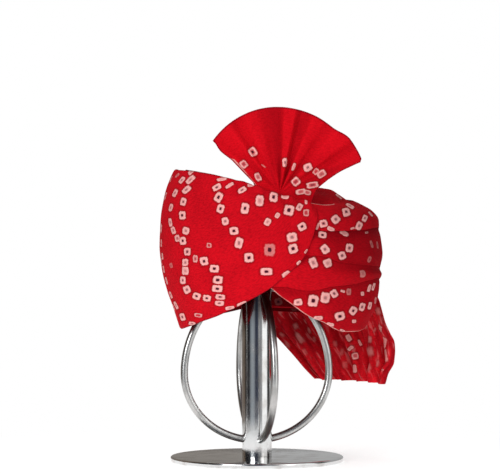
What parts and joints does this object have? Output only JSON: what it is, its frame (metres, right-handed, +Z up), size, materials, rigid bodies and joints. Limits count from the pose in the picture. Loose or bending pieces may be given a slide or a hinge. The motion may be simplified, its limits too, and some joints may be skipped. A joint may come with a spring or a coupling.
{
  "type": "turban pagri on display stand",
  "caption": "Tied turban of overlapping dotted red cloth with a pleated fan on top and a gathered hanging tail, on a chrome post stand with bent wire arms and a round foot.",
  "frame": {"origin": "centre of the foot's flat underside, on the axis of the post", "axes": "+Z up along the post, +X towards the viewer's right, -Y towards the viewer, who faces the front of the turban"},
  "size_m": [0.2497, 0.2515, 0.3752],
  "materials": {
    "red_cloth": "matt cotton",
    "chrome": "polished"
  },
  "bodies": {
    "root": {"inner_band": "red_cloth", "crown_top": "red_cloth", "left_wrap": "red_cloth", "right_wrap_upper": "red_cloth", "right_wrap_middle": "red_cloth", "right_wrap_low": "red_cloth", "right_wrap_hem": "red_cloth", "fan": "red_cloth", "tail": "red_cloth", "stand_frame": "chrome", "stand_base": "chrome"}
  },
  "joints": []
}
